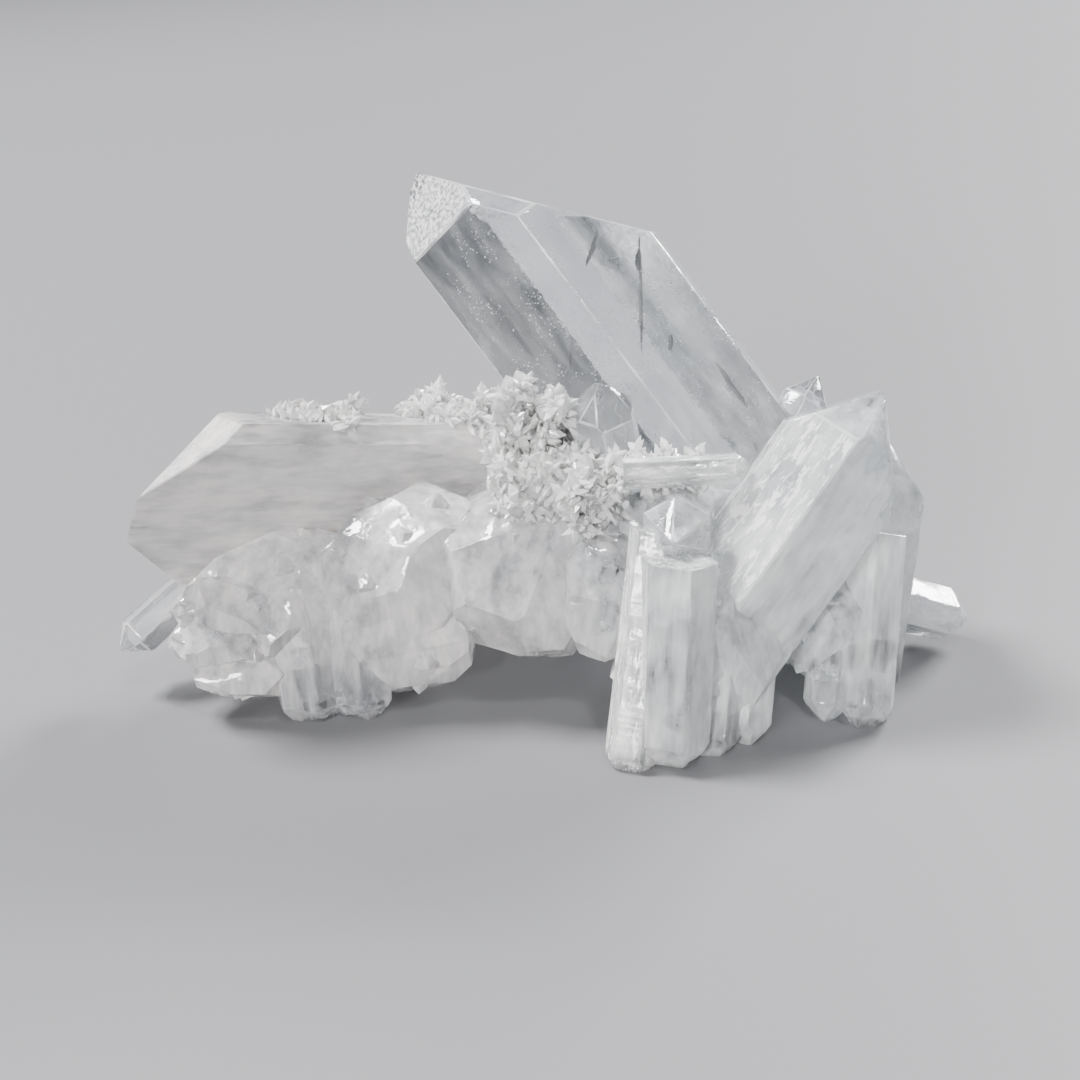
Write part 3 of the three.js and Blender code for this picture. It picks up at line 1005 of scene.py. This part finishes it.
veil_sheet = bmesh.new()
for side, distance, across_from, across_to, rise_from, rise_to, seed in VEILS:
    columns = int((across_to - across_from) / VEIL_STEP)
    rows = int((rise_to - rise_from) / VEIL_STEP)
    for i in range(columns):
        for j in range(rows):
            across = across_from + i * VEIL_STEP
            rise = rise_from + j * VEIL_STEP
            spot = Vector((across * VEIL_ACROSS, rise * VEIL_ALONG, seed * VEIL_APART))
            finer = VEIL_FINER_SHARE * noise.noise(spot * VEIL_FINER)
            if noise.noise(spot) + finer < VEIL_GAPS:
                continue
            bulge = VEIL_BULGE * noise.noise(Vector((across, rise, seed)) * VEIL_BULGES)
            corners = [
                tall_place(side, distance + bulge, across + right, rise + up)
                for right, up in ((0, 0), (VEIL_STEP, 0), (VEIL_STEP, VEIL_STEP), (0, VEIL_STEP))
            ]
            verts = [veil_sheet.verts.new((place - BASE_CENTRE) * MM) for place in corners]
            veil_sheet.faces.new(verts)
veil_mesh = bpy.data.meshes.new("veils")
veil_sheet.to_mesh(veil_mesh)
veil_sheet.free()
speck_model = grain_model("speck_model", SPECK_SIDES, SPECK_WAIST, SPECK_HEIGHT)
specks = scattered(
    "inner_specks", veil_mesh, speck_model, SPECK_DENSITY, SPECK_SIZES, SPECK_TILT, SPECK_SEED,
    fine_finish("speck_white", SPECK_WHITE, SPECK_ROUGHNESS, 0.0),
)
bpy.data.objects.remove(speck_model)
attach(specks, "root")


# Healed cracks in the tall crystal: thin curved films of trapped air that show as dark lines and
# small lenses. Their near-black colour is painted shade, since an air film has no dark colour of
# its own. Each is a closed strip, widest in the middle and drawn to a point at both ends, laid out
# on a side of the crystal and set a little under it.
CRACK_STEPS = 14
CRACK_THICK = 0.05
CRACK_TIP = 0.004
CRACK_TAPER = 0.7
CRACK_BEND = 0.35
CRACK_BENDS = 3
CRACK_APART = 2.3
CRACK_SLANT = 0.5
# The near-black of the crack films is painted shade.
CRACK_SHADE_DARK = (0.05, 0.05, 0.055, 1)
CRACK_ROUGHNESS = 0.12

# Each crack: side number, distance from the axis, across, rise, length, width, turn in its plane.
CRACKS = [
    (1, 8.4, 3.0, 30.5, 14.6, 0.3, 0.654), (1, 8.3, 5.3, 33.6, 3.2, 0.6, 0.7),
    (1, 8.4, 1.4, 37.8, 4.3, 0.45, 0.976), (1, 8.4, 5.2, 15.8, 6.6, 0.45, 0.06),
    (1, 8.4, 2.3, 23.9, 2.2, 0.4, 0.6),
    (0, 6.6, 0.2, 30.0, 4.4, 0.7, 0.785),
]


def crack_rims(number, side, distance, across, rise, length, width, turn):
    """The two long rims of a crack, as pairs of points from one end to the other."""
    pairs = []
    for i in range(CRACK_STEPS + 1):
        t = i / CRACK_STEPS
        swell = math.sin(math.pi * t) ** CRACK_TAPER
        bend = CRACK_BEND * noise.noise(Vector((t * CRACK_BENDS, number * CRACK_APART, 1)))
        along_line = (t - 0.5) * length
        pair = []
        for hand in (-1, 1):
            offset = hand * swell * width / 2 + bend * width
            across_here = across + along_line * math.sin(turn) + offset * math.cos(turn)
            rise_here = rise + along_line * math.cos(turn) - offset * math.sin(turn)
            deep = distance + bend + CRACK_SLANT * hand * swell
            pair.append(tall_place(side, deep, across_here, rise_here))
        pairs.append(pair)
    return pairs


crack_body = bmesh.new()
for number, row in enumerate(CRACKS):
    out = tall_outward(row[0])
    rings = []
    for i, (low, high) in enumerate(crack_rims(number, *row)):
        thick = CRACK_THICK * math.sin(math.pi * i / CRACK_STEPS) + CRACK_TIP
        middle = (low + high) / 2
        ring = [low, middle - out * thick, high, middle + out * thick]
        rings.append([crack_body.verts.new((place - BASE_CENTRE) * MM) for place in ring])
    for ring, following in zip(rings, rings[1:]):
        for i in range(4):
            j = (i + 1) % 4
            crack_body.faces.new((ring[i], ring[j], following[j], following[i]))
    crack_body.faces.new(rings[0][::-1])
    crack_body.faces.new(rings[-1])
bmesh.ops.recalc_face_normals(crack_body, faces=crack_body.faces[:])
crack_mesh = bpy.data.meshes.new("cracks")
crack_body.to_mesh(crack_mesh)
crack_body.free()
crack_mesh.polygons.foreach_set("use_smooth", [True] * len(crack_mesh.polygons))
crack_mesh.materials.append(fine_finish("crack_film_shade", CRACK_SHADE_DARK, CRACK_ROUGHNESS, 0.0))
cracks = bpy.data.objects.new("cracks", crack_mesh)
bpy.context.scene.collection.objects.link(cracks)
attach(cracks, "root")
